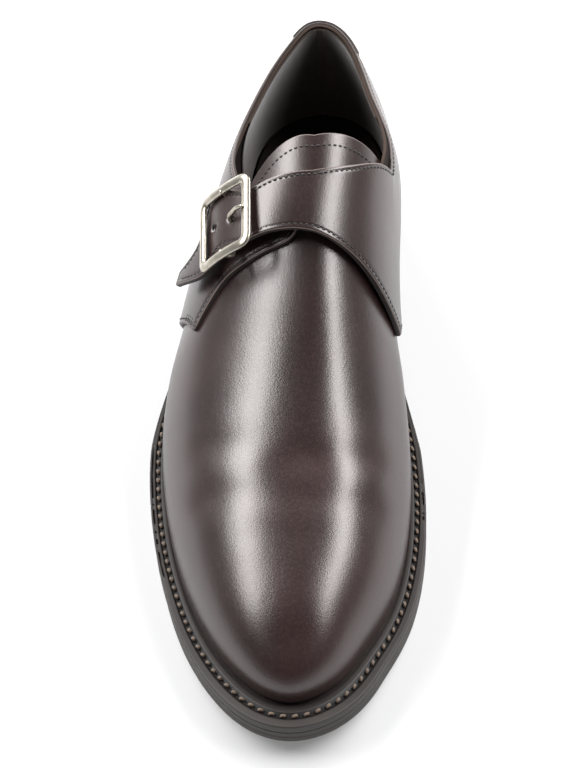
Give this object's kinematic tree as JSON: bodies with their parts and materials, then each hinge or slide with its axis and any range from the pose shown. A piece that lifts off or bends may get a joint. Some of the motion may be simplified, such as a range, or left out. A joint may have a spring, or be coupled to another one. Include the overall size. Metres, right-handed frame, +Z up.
{
  "type": "monk strap shoe",
  "caption": "Low leather monk strap shoe for the right foot: plain toe, a broad strap from the inner side buckled over the instep, welted rubber sole with a low block heel.",
  "frame": {"origin": "centre of the shoe's bounding box in plan, at floor height under the sole", "axes": "+Z up from the floor, -Y towards the toe, +X towards the big-toe side"},
  "size_m": [0.1086, 0.2932, 0.1037],
  "materials": {
    "upper_leather": "satin",
    "lining": "matte",
    "sole_edge": "matte",
    "heel_rubber": "matte",
    "buckle_metal": "polished",
    "stitching": "matte",
    "welt_thread": "matte"
  },
  "bodies": {
    "root": {"outsole": "sole_edge", "welt": "sole_edge", "heel_stack": "sole_edge", "heel_top_piece": "heel_rubber", "insole": "lining", "upper": "upper_leather", "tongue": "upper_leather", "strap": "upper_leather", "buckle_frame": "buckle_metal", "buckle_prong": "buckle_metal"}
  },
  "joints": []
}
